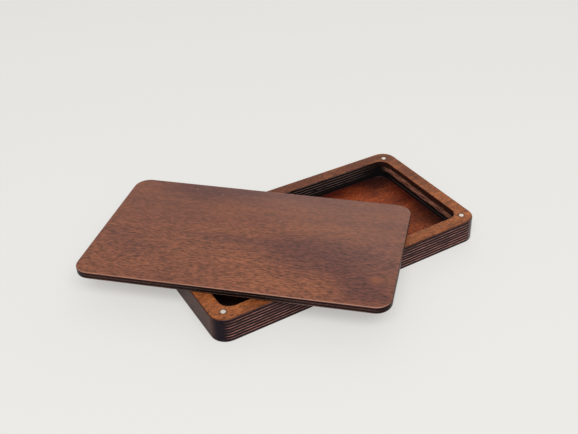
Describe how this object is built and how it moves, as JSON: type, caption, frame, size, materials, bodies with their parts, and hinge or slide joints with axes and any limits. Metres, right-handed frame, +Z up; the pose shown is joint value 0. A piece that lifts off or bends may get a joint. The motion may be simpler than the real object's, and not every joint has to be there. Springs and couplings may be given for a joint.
{
  "type": "poker chip case",
  "caption": "Shallow rectangular wooden case with round corners: a milled tray with one pocket, and a loose flat lid held by disc magnets.",
  "frame": {"origin": "centre of the tray's underside, on the surface it rests on", "axes": "+Z up out of the pocket, +X along the tray's length; the lid lies askew across the tray"},
  "size_m": [0.3422, 0.285, 0.0313],
  "materials": {
    "tray_wood": "walnut-stained birch plywood, satin oil, dark end-grain plies at the edges",
    "lid_wood": "walnut-stained plywood, satin oil, fine grain along the length",
    "magnet": "nickel-plated disc magnet, faint scratches"
  },
  "bodies": {
    "tray": {"tray": "tray_wood", "tray_magnet_front_left": "magnet", "tray_magnet_front_right": "magnet", "tray_magnet_back_right": "magnet", "tray_magnet_back_left": "magnet"},
    "lid": {"lid": "lid_wood", "lid_magnet_front_left": "magnet", "lid_magnet_front_right": "magnet", "lid_magnet_back_right": "magnet", "lid_magnet_back_left": "magnet"}
  },
  "joints": [
    {"name": "lid_lift", "type": "slide", "parent": "tray", "child": "lid", "axis": [0, 0, 1], "range_m": [0, 0.1]}
  ]
}
